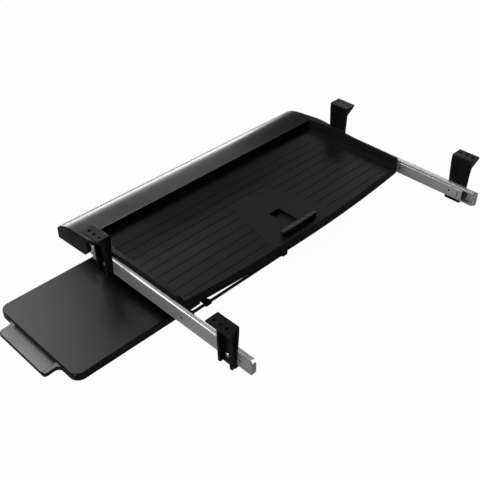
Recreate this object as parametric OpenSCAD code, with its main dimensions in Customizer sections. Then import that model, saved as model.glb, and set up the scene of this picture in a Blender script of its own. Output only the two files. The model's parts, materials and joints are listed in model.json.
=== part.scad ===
// Keyboard tray for the underside of a desk: ball slides on four brackets, a moulded tray with
// a palm rest, a keyboard stop in a floor track, and a mouse platform that slides out on two rods.
// Origin: middle of the brackets' screw holes, at the desk's underside. +X user's right, +Y rear.

/* [Desk brackets] */
// Distance between the middle screw holes of the front and the rear brackets
bracket_pitch = 270; // [240:2:284]
// Length of a bracket along the slide
bracket_len = 38.5; // [36:0.5:44]
// Length of a bracket's foot under the rail
bracket_foot_len = 29; // [28:0.5:34]
// Width of the plate against the desk
plate_w = 24; // [22:0.5:28]
// Thickness of the plate against the desk
plate_t = 3; // [2.5:0.1:4]
// Distance from the rail to the desk screw holes
hole_offset = 15; // [12:0.5:17]
// Distance between two desk screw holes in a bracket
hole_pitch = 12; // [9:0.5:12]
// Diameter of a desk screw hole
hole_d = 5.2; // [3.5:0.1:5.5]
// Thickness of the web against the rail
web_t = 3; // [2.5:0.1:4]
// Thickness of a gusset flange
flange_t = 3.5; // [2.5:0.1:4]
// Reach of a gusset flange from the rail, below its chamfer
flange_reach = 11.7; // [10.5:0.1:13]
// Reach of a gusset flange at its foot
flange_foot_reach = 10; // [9.6:0.1:10.4]
// Distance between the outer faces of a bracket's two flanges
flange_span = 26.4; // [24:0.2:27]
// Distance of the flanges' middle behind the bracket's middle
flange_shift = 1.2; // [0:0.1:1.2]
// Depth of the flange chamfer below the desk
flange_chamfer = 20; // [14:1:26]
// Reach of the foot under the rail
foot_reach = 8.5; // [6:0.5:9]
// Thickness of the foot
foot_t = 4; // [3:0.1:5]

/* [Slides] */
// Length of the outer rails
slide_len = 350; // [340:5:380]
// Height of the outer rails
slide_h = 27; // [26:0.5:29]
// Thickness of a slide between the tray wall and the bracket web
slide_t = 10.5; // [10.3:0.1:11.5]
// Depth of the slides' centre line below the desk
slide_drop = 64; // [58:0.5:70]
// Distance of the outer rails' middle behind the brackets' middle
slide_shift = 2; // [0:0.5:4]
// Thickness of the rails' sheet
rail_t = 1.2; // [1:0.05:1.25]
// Thickness of the ball cages' sheet
cage_t = 0.8; // [0.6:0.05:0.9]
// Diameter of a ball
ball_d = 2.6; // [2.4:0.05:2.7]
// Clearance between a ball and each race
ball_play = 0.1; // [0.05:0.01:0.12]
// Length of a ball cage
cage_len = 90; // [82:1:90]
// Balls in one row
row_balls = 8; // [4:1:8]
// Distance between two balls in a row
ball_pitch = 11; // [8:0.5:11.5]
// Distance that the tray rolls out
tray_travel = 230; // [200:5:230]
// Distance of the front cage stop behind the outer rail's front end
lance_inset = 1.25; // [1:0.05:3]
// Length that the inner rail stands out in front of the outer rail
inner_front_gap = 10.5; // [8:0.5:14]
// Length of the inner rails
inner_len = 336; // [326:1:338]
// Thickness of a closing buffer
buffer_t = 5; // [3:0.5:8]
// Width of the end tab across the rear of the channel
end_tab_w = 8.8; // [7:0.1:9]

/* [Tray] */
// Width of the tray over its side walls
tray_w = 536; // [516:2:556]
// Width that each end of the palm rest stands out past the side wall
palm_out = 11; // [10:0.5:12]
// Thickness of the moulded walls
wall_t = 2.5; // [2:0.1:3]
// Thickness of the floor
floor_t = 3; // [2.6:0.1:3.5]
// Height of the floor's top above the slides' centre line
floor_rise = 4; // [2:0.5:6]
// Width of the flat rim on a side wall
rim_w = 5.5; // [5:0.5:8]
// Width of the sloping flank between rim and floor
flank_w = 8.5; // [6:0.5:12]
// Height of the rim's rear end above the slides' centre line
rim_rise = 19.2; // [18:0.2:20]
// Height of the rim's front end above the slides' centre line
rim_front_rise = 21.4; // [20.4:0.2:24]
// Depth of the side walls below the slides' centre line
wall_drop = 14; // [12:0.5:15]
// Depth of the keyboard well, front to rear at the middle
well_depth = 221; // [215:1:235]
// Distance that the rear edge bows out at the middle
rear_bow = 13.5; // [8:0.5:14]
// Depth of the palm rest in front of the well
palm_depth = 80; // [72:1:95]
// Radius of the palm rest's nose
nose_r = 49.5; // [44:0.5:54]
// Distance of the nose's centre behind the front face
nose_set = 38; // [36:0.5:40]
// Slope of the palm rest's top
palm_slope = 5.7; // [4:0.1:7]
// Depth of the palm rest's front edge below the slides' centre line
palm_drop = 21.5; // [19:0.5:24]
// Length over which the palm rest's ends taper in to the side walls
wing_len = 140; // [100:5:150]
// Distance that the palm rest's lip covers the outer rail
lip_cover = 8.4; // [6:0.2:9]
// Distance between two floor grooves
groove_pitch = 20; // [15:1:25]
// Width of a floor groove
groove_w = 1.4; // [1:0.1:2.5]
// Depth of a floor groove
groove_h = 0.6; // [0.4:0.1:1]
// Height of the smooth pad in the middle of the floor
pad_h = 0.5; // [0.3:0.1:0.8]
// Width of the smooth pad at its front edge
pad_front_w = 92; // [88:2:120]
// Width of the smooth pad at the rear edge
pad_rear_w = 158; // [130:2:200]
// Distance between two ribs under the tray
rib_pitch = 66; // [62:1:70]
// Thickness of a rib
rib_t = 2; // [1.5:0.1:2.5]
// Depth of the ribs below the floor
rib_h = 9; // [6:0.5:12]

/* [Keyboard stop] */
// Width of the slot in the floor
slot_w = 24; // [20:1:28]
// Distance that the stop slides forward
stop_travel = 45; // [30:1:47]
// Length of the stop bar across the tray
bar_w = 81.4; // [60:1:100]
// Depth of the stop bar, front to rear
bar_d = 8; // [8:0.5:10]
// Height of the stop bar above the floor
bar_h = 8.5; // [8:0.5:12]
// Radius of the stop bar's two bowed sides
bar_bow_r = 600; // [400:50:900]
// Ridges on the stop bar
bar_ridges = 6; // [4:1:8]

/* [Mouse platform] */
// Width of the platform without its handle
platform_w = 240.5; // [220:0.5:262]
// Depth of the platform, front to rear
platform_d = 197; // [180:1:205]
// Thickness of the platform
platform_t = 13; // [12:0.5:15]
// Depth of the platform's top below the slides' centre line
platform_drop = 29.7; // [28:0.1:34]
// Radius of the platform's right corners
corner_r = 15; // [8:1:24]
// Radius along the platform's top edge
edge_r = 1.5; // [1:0.1:2]
// Width of the pull handle, front to rear
handle_w = 118; // [90:1:130]
// Reach of the pull handle from the platform's edge
handle_reach = 26; // [20:1:32]
// Thickness of the pull handle
handle_t = 7; // [5:0.5:8]
// Diameter of a guide rod
rod_d = 5; // [4:0.1:5.4]
// Gap between the platform and a rod's centre line
rod_gap = 11.6; // [9:0.2:12]
// Length of a glide along its rod
glide_w = 9; // [7:0.5:9.5]

/* [Hidden] */
$fn = 48;

// Margin by which a cut runs past a face
cut = 1;
// Radial clearance of a screw in its hole, and of a rod in a hanger
fit_gap = 0.05;
// Clearance between parts that slide past each other
run_gap = 0.3;

// Slide frame: u inward from the outer rail's web, w up from the centre line
slide_z = -slide_drop;
tray_half = tray_w / 2;
rail_x = tray_half + slide_t;
rail_front = slide_shift - slide_len / 2;
rail_rear = slide_shift + slide_len / 2;
rail_half = slide_h / 2;
rail_depth = slide_t - rail_t - run_gap;
race_r = ball_d / 2 + ball_play;
rail_bend_r = race_r + rail_t;
ball_w = rail_half - rail_t - race_r;
ball_u = rail_depth - rail_t - race_r;
inner_half = ball_w - race_r;
lip_half = inner_half + run_gap;
inner_bend_r = 1.8;
cage_gap = 0.6;
cage_u = rail_t + cage_gap;
cage_half = ball_w + cage_t / 2;
cage_tip_u = ball_u + 1;
cage_bend_r = 1.2;
inner_tip_u = cage_u + cage_t + cage_gap;
inner_front = rail_front - inner_front_gap;
inner_rear = inner_front + inner_len;
front_lance = rail_front + lance_inset;
cage_front = front_lance + rail_t + run_gap + tray_travel / 2;
cage_rear = cage_front + cage_len;
cage_mid = (cage_front + cage_rear) / 2;
rear_lance = cage_rear + run_gap;
lance_len = 4;
lance_h = 5;
lance_reach = cage_u + cage_t + 0.4;
dimple_gap = 5;
dimple_d = 2.5;
tab_up = 7.5;
tab_down = 11;
tab_r = 2;
flange_cutback = 4;
buffer_y = inner_rear + run_gap;
buffer_h = 12;
buffer_reach = rail_depth - run_gap;
stud_d = 3;
bracket_screw_d = 4;
bracket_head_d = 8.6;
bracket_head_h = 2.8;
rail_screw_d = 3.5;
rail_head_d = 7;
rail_head_h = 2.1;
rail_screw_len = 8;
rail_screw_set = 34;
rail_screw_pitch = 74;
rail_screw_ys = [for (i = [0:2]) inner_front + rail_screw_set + i * rail_screw_pitch];
inner_hole_d = 4;
inner_hole_set = 25.5;
inner_hole_pitch = 103;
inner_hole_ys = [for (i = [0, 1]) inner_rear - inner_hole_set - i * inner_hole_pitch];
slot_mark_set = 8.1;
slot_mark_y = inner_rear - slot_mark_set;
slot_mark_r = 10;
slot_mark_w = 2;

// Brackets: v outward from the rail, z down from the desk
bracket_foot_z = slide_z - rail_half - foot_t;
taper_top = 15;
flange_knee = 2;
plate_edge_r = 2.5;
web_fillet_r = 2;
flange_foot_r = 2.5;
flange_foot_z = bracket_foot_z + 1.1;
recess_w = 12;
recess_h = 0.8;

// Tray heights and depths
floor_z = slide_z + floor_rise;
rim_z = slide_z + rim_rise;
lip_z = slide_z + rim_front_rise;
wall_low = slide_z - wall_drop;
palm_low = slide_z - palm_drop;
palm_rear_low = palm_low + 4.5;
palm_half = tray_half + palm_out;
rim_half = tray_half - rim_w;
floor_half = rim_half - flank_w;
lip_end = rail_front + lip_cover;
lip_len = 26;
well_front = lip_end - lip_len;
wing_set = 15.4;
wing_rear = lip_end - wing_set + wing_len;
wing_bite = 0.5;
wing_r = (wing_len * wing_len + palm_out * palm_out) / (2 * palm_out);
palm_front = well_front - palm_depth;
tray_rear = well_front + well_depth;
bow_r = (tray_half * tray_half + rear_bow * rear_bow) / (2 * rear_bow);
lip_under = slide_z + rail_half + 0.5;
palm_heel_low = inner_front - 10.5;
palm_heel_mid = inner_front - 0.7;
palm_heel_top = inner_front - 3;
palm_heel_z = slide_z - 7.7;
nose_y = palm_front + nose_set;
nose_z = lip_z - (lip_end - nose_y) * tan(palm_slope) - nose_r / cos(palm_slope);
well_rake = 3.5;
palm_skirt_y = palm_heel_low;
floor_low = floor_z - floor_t;
rib_low = floor_low - rib_h;
rail_boss_d = 8;
rail_boss_len = 10;
rib_row_pitch = 64.7;
rib_ys = [for (i = [1:3]) palm_skirt_y + i * rib_row_pitch];
palm_rib_rise = 5;

// Keyboard stop
slider_len = 14;
slider_tail = 35;
slot_rear_gap = 1;
slot_front_gap = 4;
slot_len = stop_travel + slider_len + slot_rear_gap + slot_front_gap;
slot_set = 8.5;
slot_rear = tray_rear - slot_set;
slot_front = slot_rear - slot_len;
pad_set = 47;
pad_front = slot_front - pad_set;
bar_y = slot_rear - slot_rear_gap - slider_len / 2;
slider_lip = 4;
slider_t = 2.9;
slider_gap = 0.15;
neck_gap = 0.2;
bar_wall = 2;
ridge_r = 14;
ridge_h = 0.9;
bar_low = floor_z + pad_h + run_gap;
bar_top = floor_z + bar_h;
stop_screw_d = 3;
stop_screw_x = 7;
stop_post_d = 6.5;
cover_wall = 2.5;
cover_t = 2;
cover_depth = slider_t + 2 * slider_gap;
cover_half = slot_w / 2 + slider_lip + neck_gap + cover_wall;
cover_front = bar_y - slider_len / 2 - slider_tail - stop_travel - run_gap - cover_wall;
cover_rear = slot_rear + 2;
ear_w = 9;
ear_len = 10;
ear_set = 10;
ear_ys = [cover_front + ear_set, cover_rear - ear_set - 2];
track_screw_d = 2.5;

// Mouse platform and its rods
platform_top = slide_z - platform_drop;
platform_low = platform_top - platform_t;
platform_tuck = 71.5;
platform_left = tray_half - platform_tuck;
platform_right = platform_left + platform_w;
rod_set = 18.8;
rod_rear_y = tray_rear - rod_set;
platform_rear = rod_rear_y - rod_gap;
platform_front = platform_rear - platform_d;
rod_front_y = platform_front - rod_gap;
rod_z = platform_top - platform_t / 2;
hanger_post = 8;
hanger_len = 28;
hanger_w = 12;
hanger_t = 3;
hanger_seat = wall_low;
hanger_right_inset = 14;
hanger_right = tray_half - hanger_right_inset;
hanger_left = cover_half + ear_w + 1;
hanger_end_wall = 2;
hanger_boss_d = 7;
hanger_screw_d = 3;
hanger_head_d = 6;
hanger_head_h = 2;
hanger_screw_len = 9;
hanger_screw_us = [17.5, 24];
hanger_gusset = 6;
rod_left = hanger_left + hanger_end_wall;
rod_right = hanger_right - hanger_end_wall;
glide_inset = 0.6;
glide_left_x = platform_left + wall_t + glide_inset;
glide_right_x = hanger_right - hanger_post - 1.5 - glide_w;
glide_xs = [glide_left_x, glide_right_x];
glide_ring_r = rod_d / 2 + 2.5;
glide_run_gap = 0.1;
glide_foot_len = 18;
glide_foot_w = 10;
glide_foot_t = 3;
glide_foot_top = platform_low + 5.5;
glide_arm_t = 5;
glide_screw_d = 3;
glide_screw_x = 13.5;
glide_screw_y = -rod_gap - wall_t - glide_inset - glide_foot_w / 2;
glide_screw_len = 7;
glide_mouth_w = 4.2;
glide_mouth_turn = 40;
glide_boss_d = 7;
inner_corner_r = 4;
handle_fillet = 9;
handle_corner = 7;
scoop_r = 60;
scoop_depth = 2.2;
handle_top = platform_top - 4.3;
platform_rib_pitch_x = 58;
platform_rib_pitch_y = 64;

// Outline helpers

module along_x(x0, x1) {
    translate([x0, 0, 0]) rotate([90, 0, 90]) linear_extrude(x1 - x0) children();
}

module along_y(y0, y1) {
    translate([0, y1, 0]) rotate([90, 0, 0]) linear_extrude(y1 - y0) children();
}

module round_rect(w, h, r) {
    translate([0, r]) square([w, h - 2 * r]);
    translate([r, 0]) square([w - 2 * r, h]);
    for (x = [r, w - r], y = [r, h - r]) translate([x, y]) circle(r);
}

// What a rounded corner of radius r takes off a square corner at the origin
module corner_waste(r) {
    difference() {
        translate([-cut, -cut]) square(r + cut);
        translate([r, r]) circle(r);
    }
}

module fillet(r) {
    difference() {
        square(r);
        translate([r, r]) circle(r);
    }
}

module both_sides() {
    children();
    mirror([1, 0, 0]) children();
}

module at_slide(side) {
    translate([side * rail_x, 0, slide_z]) mirror([side > 0 ? 1 : 0, 0, 0]) children();
}

module pin_u(u0, u1, d) {
    translate([u0, 0, 0]) rotate([0, 90, 0]) cylinder(h = u1 - u0, d = d);
}

// Pan head with a cross recess, seated at z = 0 and standing up
module pan_head(d, h) {
    difference() {
        intersection() {
            cylinder(h = h, d = d);
            translate([0, 0, h - d * 0.75]) sphere(r = d * 0.75, $fn = 64);
        }
        for (turn = [0, 90]) rotate([0, 0, turn])
            translate([-d * 0.27, -d * 0.06, h * 0.5]) cube([d * 0.54, d * 0.12, h]);
    }
}

// Screw pointing down: its head stands on z = 0, its shank hangs below
module pan_screw(d, len, head_d, head_h) {
    pan_head(head_d, head_h);
    translate([0, 0, -len]) cylinder(h = len, d = d);
}

// Desk brackets

module at_bracket(side, end) {
    translate([side * rail_x, end * bracket_pitch / 2, 0]) mirror([side > 0 ? 0 : 1, 0, 0]) children();
}

module bracket_section() {
    difference() {
        union() {
            translate([0, -plate_t]) square([plate_w, plate_t]);
            translate([0, bracket_foot_z]) square([web_t, -bracket_foot_z]);
            translate([-foot_reach, bracket_foot_z]) square([foot_reach + web_t, foot_t]);
            translate([web_t, -plate_t]) mirror([0, 1]) fillet(web_fillet_r);
        }
        mirror([0, 1]) corner_waste(plate_edge_r);
    }
}

module bracket_outline() {
    half = bracket_len / 2;
    foot = bracket_foot_len / 2;
    polygon([
        [-half, cut], [half, cut], [half, -taper_top], [foot, bracket_foot_z - cut],
        [-foot, bracket_foot_z - cut], [-half, -taper_top]
    ]);
}

module flange_section() {
    difference() {
        polygon([
            [web_t / 2, -plate_t / 2], [plate_w, -plate_t / 2], [plate_w, -plate_t],
            [flange_reach, -flange_chamfer], [flange_foot_reach, flange_foot_z], [web_t / 2, flange_foot_z]
        ]);
        translate([flange_foot_reach + 0.1, flange_foot_z]) mirror([1, 0]) corner_waste(flange_foot_r);
    }
}

module flange_path(end) {
    outer = end * flange_span / 2 + flange_shift;
    inner = outer - end * flange_t;
    half = end * bracket_len / 2;
    knee = -flange_chamfer - flange_knee;
    polygon([
        [half, 0], [half, -plate_t], [outer, knee], [outer, bracket_foot_z],
        [inner, bracket_foot_z], [inner, knee], [half - end * flange_t, -plate_t], [half - end * flange_t, 0]
    ]);
}

module bracket() {
    color("#2b2b2b") difference() {
        union() {
            intersection() {
                along_y(-bracket_len / 2, bracket_len / 2) bracket_section();
                along_x(-foot_reach - cut, plate_w + cut) bracket_outline();
            }
            for (end = [-1, 1]) intersection() {
                along_y(-bracket_len, bracket_len) flange_section();
                along_x(0, plate_w + cut) flange_path(end);
            }
        }
        for (i = [-1:1]) translate([hole_offset, i * hole_pitch, -plate_t - cut])
            cylinder(h = plate_t + 2 * cut, d = hole_d);
        translate([0, 0, slide_z]) pin_u(-cut, web_t + cut, bracket_screw_d + 2 * fit_gap);
        translate([-cut, -recess_w / 2, slide_z + rail_half])
            cube([recess_h + cut, recess_w, slide_drop - rail_half - plate_t - plate_edge_r]);
    }
}

module bracket_front_right() { at_bracket(1, -1) bracket(); }
module bracket_front_left() { at_bracket(-1, -1) bracket(); }
module bracket_rear_right() { at_bracket(1, 1) bracket(); }
module bracket_rear_left() { at_bracket(-1, 1) bracket(); }

module bracket_screws() {
    color("#b8b8b8") for (side = [-1, 1], end = [-1, 1])
        at_bracket(side, end) translate([web_t, 0, slide_z]) rotate([0, 90, 0])
            pan_screw(bracket_screw_d, web_t + rail_t, bracket_head_d, bracket_head_h);
}

// Slides

module outer_section() {
    difference() {
        translate([0, -rail_half]) round_rect(rail_depth, slide_h, rail_bend_r);
        translate([rail_t, rail_t - rail_half])
            round_rect(rail_depth - 2 * rail_t, slide_h - 2 * rail_t, race_r);
        translate([rail_depth - 1.4 * rail_t, -lip_half]) square([2 * rail_t, 2 * lip_half]);
    }
}

module outer_rail(side) {
    color("#8c8f92") at_slide(side) difference() {
        union() {
            difference() {
                along_y(rail_front, rail_rear) outer_section();
                translate([rail_t, rail_rear - flange_cutback, -slide_h])
                    cube([slide_t, flange_cutback + cut, 2 * slide_h]);
            }
            along_y(rail_rear - rail_t, rail_rear) translate([0, -tab_down])
                round_rect(end_tab_w, tab_up + tab_down, tab_r);
            for (y = [front_lance, rear_lance]) translate([rail_t / 2, y, -lance_h / 2])
                cube([lance_reach - rail_t / 2, rail_t, lance_h]);
        }
        for (y = [front_lance, rear_lance]) translate([-cut, y + rail_t, -lance_h / 2])
            cube([rail_t + 2 * cut, lance_len, lance_h]);
        translate([0, rear_lance - dimple_gap, 0]) pin_u(-cut, rail_t + cut, dimple_d);
        for (end = [-1, 1]) translate([0, end * bracket_pitch / 2, 0])
            pin_u(-cut, rail_t + cut, bracket_screw_d + 2 * fit_gap);
        translate([0, buffer_y + buffer_t / 2, 0]) pin_u(-cut, rail_t + cut, stud_d + 2 * fit_gap);
    }
}

module outer_rail_right() { outer_rail(1); }
module outer_rail_left() { outer_rail(-1); }

module closing_buffers() {
    color("#202020") for (side = [-1, 1]) at_slide(side) {
        along_y(buffer_y, buffer_y + buffer_t) translate([rail_t, -buffer_h / 2])
            round_rect(buffer_reach - rail_t, buffer_h, tab_r);
        translate([0, buffer_y + buffer_t / 2, 0]) pin_u(0, 2 * rail_t, stud_d);
    }
}

module cage_section() {
    reach = cage_tip_u - cage_u + 2 * cage_bend_r;
    difference() {
        translate([cage_u, -cage_half]) round_rect(reach, 2 * cage_half, cage_bend_r);
        translate([cage_u + cage_t, cage_t - cage_half])
            round_rect(reach, 2 * (cage_half - cage_t), cage_bend_r - cage_t);
        translate([cage_tip_u, -slide_h / 2]) square([reach, slide_h]);
    }
}

module at_balls() {
    for (i = [0 : row_balls - 1], row = [-1, 1])
        translate([ball_u, cage_mid + (i - (row_balls - 1) / 2) * ball_pitch, row * ball_w]) children();
}

module ball_cage(side) {
    window_w = cage_len / 3.5;
    color("#9a8f6a") at_slide(side) difference() {
        along_y(cage_front, cage_rear) cage_section();
        at_balls() cylinder(h = 2 * cage_t, d = ball_d + 2 * ball_play, center = true);
        for (i = [-1:1]) translate([cage_u - cut, cage_mid + i * cage_len * 0.31 - window_w / 2, -cage_half / 2])
            cube([cage_t + 2 * cut, window_w, cage_half]);
    }
}

module balls(side) {
    color("#d8d8d8") at_slide(side) at_balls() sphere(d = ball_d, $fn = 32);
}

module ball_cage_right() { ball_cage(1); }
module ball_cage_left() { ball_cage(-1); }
module balls_right() { balls(1); }
module balls_left() { balls(-1); }

module inner_section() {
    difference() {
        translate([0, -inner_half]) round_rect(slide_t, 2 * inner_half, inner_bend_r);
        translate([-rail_t, rail_t - inner_half])
            round_rect(slide_t, 2 * (inner_half - rail_t), inner_bend_r - rail_t);
        translate([-2 * cut, -slide_h / 2]) square([inner_tip_u + 2 * cut, slide_h]);
    }
}

module inner_rail(side) {
    color("#8c8f92") at_slide(side) difference() {
        along_y(inner_front, inner_rear) inner_section();
        for (y = rail_screw_ys) translate([0, y, 0])
            pin_u(slide_t - rail_t - cut, slide_t + cut, rail_screw_d + 2 * fit_gap);
        for (y = inner_hole_ys) translate([0, y, 0])
            pin_u(slide_t - rail_t - cut, slide_t + cut, inner_hole_d);
        translate([slide_t - rail_t - cut, slot_mark_y, 0]) rotate([0, 90, 0]) linear_extrude(rail_t + 2 * cut)
            intersection() {
                difference() {
                    translate([0, -slot_mark_r]) circle(slot_mark_r + slot_mark_w / 2);
                    translate([0, -slot_mark_r]) circle(slot_mark_r - slot_mark_w / 2);
                }
                translate([-slot_mark_r / 2, -slot_mark_w]) square([slot_mark_r, 2 * slot_mark_w]);
            }
    }
}

module inner_rail_right() { inner_rail(1); }
module inner_rail_left() { inner_rail(-1); }

module rail_screws() {
    color("#b8b8b8") for (side = [-1, 1], y = rail_screw_ys)
        at_slide(side) translate([slide_t - rail_t, y, 0]) rotate([0, -90, 0])
            pan_screw(rail_screw_d, rail_t + rail_screw_len, rail_head_d, rail_head_h);
}

// Tray moulding

// Nose and sloping top of the palm rest, as seen from the side, drawn in by t
module palm_top(t) {
    r = nose_r - t;
    far = lip_end + 20;
    translate([nose_y, nose_z]) circle(r, $fn = 180);
    polygon([
        [nose_y, nose_z],
        [nose_y - r * sin(palm_slope), nose_z + r * cos(palm_slope)],
        [far, nose_z + r / cos(palm_slope) + (far - nose_y) * tan(palm_slope)],
        [far, nose_z]
    ]);
}

module palm_outline() {
    intersection() {
        palm_top(0);
        polygon([
            [palm_front, palm_low], [palm_front, 0], [lip_end, 0], [lip_end, lip_under],
            [palm_heel_top, lip_under], [palm_heel_mid, palm_heel_z], [palm_heel_low, palm_rear_low]
        ]);
    }
}

module palm_hollow() {
    deep = 2 * palm_low;
    intersection() {
        palm_top(wall_t);
        union() {
            polygon([
                [palm_front + wall_t, deep], [palm_front + wall_t, 0], [palm_heel_top - wall_t, 0],
                [palm_heel_top - wall_t, lip_under], [palm_heel_mid - wall_t, palm_heel_z],
                [palm_heel_low - wall_t, palm_rear_low], [palm_heel_low - wall_t, deep]
            ]);
            translate([palm_heel_top, lip_under - cut]) square([lip_end - wall_t - palm_heel_top, rail_half]);
        }
    }
}

// Palm rest and its wings as seen from above, drawn in by t: the ends curve in to the side walls
module palm_plan(t) {
    far = palm_front - nose_r;
    both_sides() difference() {
        translate([0, far]) square([palm_half - t, wing_rear - far]);
        translate([tray_half - wing_bite + wing_r, wing_rear]) circle(wing_r + t, $fn = 720);
    }
}

// Side wall as seen from the side, its top drawn down by t
module wall_outline(t, low) {
    front = well_front - 20;
    polygon([
        [front, low], [front, rim_z - 5], [lip_end, lip_z - t], [tray_rear + cut, rim_z - t],
        [tray_rear + cut, low]
    ]);
}

// Keyboard well, opened out by side walls t and a floor f
module well(t, f) {
    far = tray_rear + 20;
    intersection() {
        along_y(well_front - 10, far) polygon([
            [-floor_half - t, floor_z - f], [floor_half + t, floor_z - f], [rim_half + t, rim_z],
            [rim_half + t, cut], [-rim_half - t, cut], [-rim_half - t, rim_z]
        ]);
        along_x(-palm_half, palm_half) polygon([
            [well_front + well_rake - t, floor_z - f], [well_front - t, rim_z],
            [well_front - t, cut], [far, cut], [far, floor_z - f]
        ]);
    }
}

module behind_bow(t) {
    translate([0, tray_rear - bow_r, 2 * palm_low]) cylinder(h = -2 * palm_low + cut, r = bow_r - t, $fn = 720);
}

module tray_envelope() {
    difference() {
        intersection() {
            union() {
                intersection() {
                    along_x(-palm_half, palm_half) {
                        palm_outline();
                        wall_outline(0, lip_under);
                    }
                    translate([0, 0, 2 * palm_low]) linear_extrude(-2 * palm_low) palm_plan(0);
                }
                along_x(-tray_half, tray_half) wall_outline(0, wall_low);
            }
            behind_bow(0);
        }
        well(0, 0);
    }
}

module tray_hollow() {
    difference() {
        intersection() {
            union() {
                intersection() {
                    along_x(-palm_half, palm_half) palm_hollow();
                    translate([0, 0, 2 * palm_low]) linear_extrude(-2 * palm_low) palm_plan(wall_t);
                }
                along_x(wall_t - tray_half, tray_half - wall_t) wall_outline(wall_t, 2 * palm_low);
            }
            behind_bow(wall_t);
        }
        well(wall_t, floor_t);
    }
}

module at_hangers() {
    for (y = [rod_front_y, rod_rear_y]) {
        translate([hanger_left, y, 0]) children();
        translate([hanger_right, y, 0]) mirror([1, 0, 0]) children();
    }
}

module tray_ribs() {
    columns = floor(floor_half / rib_pitch);
    for (i = [-columns : columns - 1]) let (x = (i + 0.5) * rib_pitch) {
        translate([x - rib_t / 2, palm_skirt_y, rib_low])
            cube([rib_t, tray_rear - palm_skirt_y, rib_h + floor_t / 2]);
        translate([x - rib_t / 2, palm_front + wall_t / 2, palm_low + palm_rib_rise + floor_t])
            cube([rib_t, palm_skirt_y - palm_front, slide_drop]);
    }
    for (y = rib_ys) translate([-tray_half + wall_t / 2, y, rib_low])
        cube([tray_w - wall_t, rib_t, rib_h + floor_t / 2]);
    translate([-tray_half + wall_t / 2, palm_skirt_y, palm_rear_low])
        cube([tray_w - wall_t, wall_t, floor_low - palm_rear_low + floor_t / 2]);
}

module tray_bosses() {
    at_hangers() {
        difference() {
            translate([0, -hanger_w / 2, hanger_seat]) cube([hanger_len, hanger_w, slide_drop]);
            translate([rib_t, rib_t - hanger_w / 2, hanger_seat - cut])
                cube([hanger_len - 2 * rib_t, hanger_w - 2 * rib_t, slide_drop + 2 * cut]);
        }
        for (u = hanger_screw_us) translate([u, 0, hanger_seat]) cylinder(h = slide_drop, d = hanger_boss_d);
    }
    for (y = rail_screw_ys) both_sides()
        translate([tray_half - rail_boss_len, y, slide_z]) rotate([0, 90, 0])
            cylinder(h = rail_boss_len - wall_t / 2, d = rail_boss_d);
}

module smooth_pad(grow) {
    far = tray_rear + 10;
    polygon([
        [-pad_front_w / 2 - grow, pad_front - grow], [pad_front_w / 2 + grow, pad_front - grow],
        [pad_rear_w / 2 + grow, far], [-pad_rear_w / 2 - grow, far]
    ]);
}

module floor_grooves() {
    count = floor((well_depth - 2 * groove_pitch) / groove_pitch);
    difference() {
        for (i = [0 : count - 1])
            translate([-floor_half + 3, tray_rear - groove_pitch * (i + 1), floor_z - groove_h])
                cube([2 * floor_half - 6, groove_w, groove_h + cut]);
        translate([0, 0, floor_z - 1.5 * groove_h]) linear_extrude(3 * groove_h + cut) smooth_pad(groove_w);
    }
}

module tray() {
    color("#2a2a2a") difference() {
        union() {
            difference() {
                tray_envelope();
                tray_hollow();
            }
            intersection() {
                tray_envelope();
                difference() {
                    tray_ribs();
                    translate([-rib_pitch / 2 + rib_t, cover_front - run_gap, 2 * palm_low])
                        cube([rib_pitch - 2 * rib_t, tray_rear - wall_t - cover_front, floor_low - 2 * palm_low]);
                }
            }
            intersection() {
                tray_envelope();
                tray_bosses();
            }
            intersection() {
                translate([0, 0, floor_z - floor_t / 2]) linear_extrude(floor_t / 2 + pad_h) smooth_pad(0);
                behind_bow(0);
            }
        }
        floor_grooves();
        translate([-slot_w / 2, slot_front, floor_low - cut]) cube([slot_w, slot_len, floor_t + pad_h + 2 * cut]);
        at_hangers() {
            translate([-run_gap, -hanger_w / 2 - run_gap, hanger_seat - slide_drop])
                cube([hanger_len + 2 * run_gap, hanger_w + 2 * run_gap, slide_drop]);
            for (u = hanger_screw_us) translate([u, 0, hanger_seat - cut])
                cylinder(h = hanger_screw_len - hanger_t + 2 * cut, d = hanger_screw_d + 2 * fit_gap);
        }
        for (y = rail_screw_ys) both_sides()
            translate([tray_half - rail_screw_len - cut, y, slide_z]) rotate([0, 90, 0])
                cylinder(h = rail_screw_len + 2 * cut, d = rail_screw_d + 2 * fit_gap);
        at_ears() translate([0, 0, floor_low - cut])
            cylinder(h = cut + floor_t * 0.8, d = track_screw_d + 2 * fit_gap);
    }
}

// Keyboard stop

module at_ears() {
    for (x = [-1, 1], y = ear_ys) translate([x * (cover_half + ear_w / 2 - 0.5), y, 0]) children();
}

module track_cover() {
    color("#222222") difference() {
        union() {
            translate([-cover_half, cover_front, floor_low - cover_depth - cover_t])
                cube([2 * cover_half, cover_rear - cover_front, cover_depth + cover_t]);
            at_ears() translate([-ear_w / 2 - 0.5, -ear_len / 2, floor_low - cover_t])
                cube([ear_w + 1, ear_len, cover_t]);
        }
        translate([cover_wall - cover_half, cover_front + cover_wall, floor_low - cover_depth])
            cube([2 * (cover_half - cover_wall), cover_rear - cover_front - 2 * cover_wall, cover_depth + cut]);
        at_ears() translate([0, 0, floor_low - cover_t - cut])
            cylinder(h = cover_t + 2 * cut, d = track_screw_d + 2 * fit_gap);
    }
}

module track_screws() {
    color("#b8b8b8") at_ears() translate([0, 0, floor_low - cover_t]) mirror([0, 0, 1])
        pan_screw(track_screw_d, cover_t + floor_t * 0.7, 2 * track_screw_d, 1.6);
}

module at_stop_screws() {
    for (x = [-1, 1]) translate([x * stop_screw_x, bar_y, 0]) children();
}

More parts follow.
